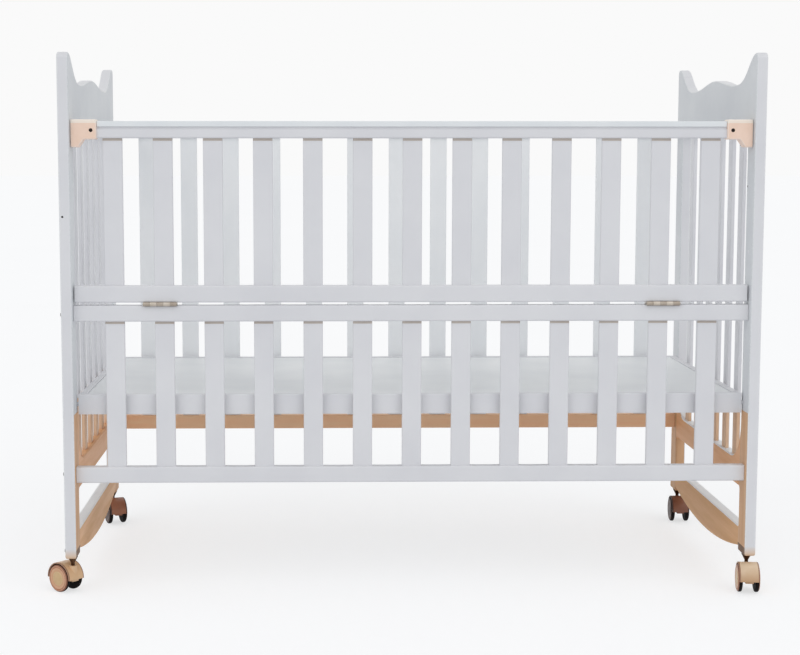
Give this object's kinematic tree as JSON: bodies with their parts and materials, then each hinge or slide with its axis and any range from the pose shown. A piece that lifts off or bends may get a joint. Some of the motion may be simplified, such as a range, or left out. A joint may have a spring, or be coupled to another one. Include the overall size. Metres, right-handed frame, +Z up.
{
  "type": "convertible crib",
  "caption": "Wooden crib with shaped ends, slatted sides, a folding upper front gate with latches, a bed base, rockers and swivel casters.",
  "frame": {"origin": "on the floor, under the middle of the whole crib's box as its casters stand; the middle of the wooden crib lies at X 14 mm, Y 13 mm", "axes": "+Z up, +X to the right along the crib's length, -Y towards the side whose upper half folds down"},
  "size_m": [1.2889, 0.6656, 0.963],
  "materials": {
    "white_paint": "satin white paint on wood",
    "natural_wood": "clear satin lacquer on light wood",
    "cover_plastic": "smooth white plastic strip",
    "peach_plastic": "moulded peach plastic, satin",
    "beige_plastic": "moulded beige plastic, satin",
    "brass": "dull plated brass",
    "dark_steel": "blackened steel",
    "tread": "matt black rubber with a beige disc"
  },
  "bodies": {
    "frame": {"post_front_left": "white_paint", "post_front_right": "white_paint", "post_back_left": "white_paint", "post_back_right": "white_paint", "end_board_left": "white_paint", "end_board_right": "white_paint", "end_bottom_rail_left": "natural_wood", "end_bottom_rail_right": "natural_wood", "rocker_left": "natural_wood", "rocker_right": "natural_wood", "end_slats_left": "white_paint", "end_slats_right": "white_paint", "lower_bottom_rail": "white_paint", "lower_top_rail": "white_paint", "lower_slats": "white_paint", "back_bottom_rail": "natural_wood", "back_top_rail": "white_paint", "back_slats": "white_paint", "base_rim_front": "white_paint", "base_rim_back": "white_paint", "base_rim_left": "white_paint", "base_rim_right": "white_paint", "base_panel": "white_paint", "hinge_lower_leaf_left": "brass", "hinge_lower_leaf_right": "brass", "hinge_pin_left": "brass", "hinge_pin_right": "brass"},
    "gate": {"gate_bottom_rail": "white_paint", "gate_slats": "white_paint", "gate_top_rail": "white_paint", "gate_rail_cover": "cover_plastic", "latch_housing_left": "peach_plastic", "latch_housing_right": "peach_plastic", "hinge_upper_leaf_left": "brass", "hinge_upper_leaf_right": "brass"},
    "latch_bolt_left": {"latch_bolt_left": "dark_steel"},
    "latch_bolt_right": {"latch_bolt_right": "dark_steel"},
    "caster_front_left": {"caster_hood_front_left": "beige_plastic", "caster_stem_front_left": "dark_steel", "caster_axle_front_left": "dark_steel"},
    "caster_front_right": {"caster_hood_front_right": "beige_plastic", "caster_stem_front_right": "dark_steel", "caster_axle_front_right": "dark_steel"},
    "caster_back_left": {"caster_hood_back_left": "beige_plastic", "caster_stem_back_left": "dark_steel", "caster_axle_back_left": "dark_steel"},
    "caster_back_right": {"caster_hood_back_right": "beige_plastic", "caster_stem_back_right": "dark_steel", "caster_axle_back_right": "dark_steel"},
    "wheel_front_left_a": {"caster_wheel_front_left_a": "tread"},
    "wheel_front_left_b": {"caster_wheel_front_left_b": "tread"},
    "wheel_front_right_a": {"caster_wheel_front_right_a": "tread"},
    "wheel_front_right_b": {"caster_wheel_front_right_b": "tread"},
    "wheel_back_left_a": {"caster_wheel_back_left_a": "tread"},
    "wheel_back_left_b": {"caster_wheel_back_left_b": "tread"},
    "wheel_back_right_a": {"caster_wheel_back_right_a": "tread"},
    "wheel_back_right_b": {"caster_wheel_back_right_b": "tread"}
  },
  "joints": [
    {"name": "gate_fold", "type": "hinge", "parent": "frame", "child": "gate", "pos_m": [0.014, -0.295, 0.5225], "axis": [1, 0, 0], "range_deg": [0, 165]},
    {"name": "latch_slide_left", "type": "slide", "parent": "gate", "child": "latch_bolt_left", "axis": [-1, 0, 0], "range_m": [0, 0.008]},
    {"name": "latch_slide_right", "type": "slide", "parent": "gate", "child": "latch_bolt_right", "axis": [1, 0, 0], "range_m": [0, 0.008]},
    {"name": "swivel_front_left", "type": "hinge", "parent": "frame", "child": "caster_front_left", "pos_m": [-0.596, -0.282, 0.06], "axis": [0, 0, 1], "continuous": true},
    {"name": "swivel_front_right", "type": "hinge", "parent": "frame", "child": "caster_front_right", "pos_m": [0.624, -0.282, 0.06], "axis": [0, 0, 1], "continuous": true},
    {"name": "swivel_back_left", "type": "hinge", "parent": "frame", "child": "caster_back_left", "pos_m": [-0.596, 0.308, 0.06], "axis": [0, 0, 1], "continuous": true},
    {"name": "swivel_back_right", "type": "hinge", "parent": "frame", "child": "caster_back_right", "pos_m": [0.624, 0.308, 0.06], "axis": [0, 0, 1], "continuous": true},
    {"name": "spin_front_left_a", "type": "hinge", "parent": "caster_front_left", "child": "wheel_front_left_a", "pos_m": [-0.61132, -0.26914, 0.02499], "axis": [0.6428, 0.766, 0], "continuous": true},
    {"name": "spin_front_left_b", "type": "hinge", "parent": "caster_front_left", "child": "wheel_front_left_b", "pos_m": [-0.61132, -0.26914, 0.02499], "axis": [0.6428, 0.766, 0], "continuous": true},
    {"name": "spin_front_right_a", "type": "hinge", "parent": "caster_front_right", "child": "wheel_front_right_a", "pos_m": [0.62191, -0.30189, 0.02499], "axis": [-0.9945, 0.1045, 0], "continuous": true},
    {"name": "spin_front_right_b", "type": "hinge", "parent": "caster_front_right", "child": "wheel_front_right_b", "pos_m": [0.62191, -0.30189, 0.02499], "axis": [-0.9945, 0.1045, 0], "continuous": true},
    {"name": "spin_back_left_a", "type": "hinge", "parent": "caster_back_left", "child": "wheel_back_left_a", "pos_m": [-0.58851, 0.28946, 0.02499], "axis": [-0.9272, -0.3746, 0], "continuous": true},
    {"name": "spin_back_left_b", "type": "hinge", "parent": "caster_back_left", "child": "wheel_back_left_b", "pos_m": [-0.58851, 0.28946, 0.02499], "axis": [-0.9272, -0.3746, 0], "continuous": true},
    {"name": "spin_back_right_a", "type": "hinge", "parent": "caster_back_right", "child": "wheel_back_right_a", "pos_m": [0.6233, 0.28801, 0.02499], "axis": [-0.9994, 0.0349, 0], "continuous": true},
    {"name": "spin_back_right_b", "type": "hinge", "parent": "caster_back_right", "child": "wheel_back_right_b", "pos_m": [0.6233, 0.28801, 0.02499], "axis": [-0.9994, 0.0349, 0], "continuous": true}
  ]
}
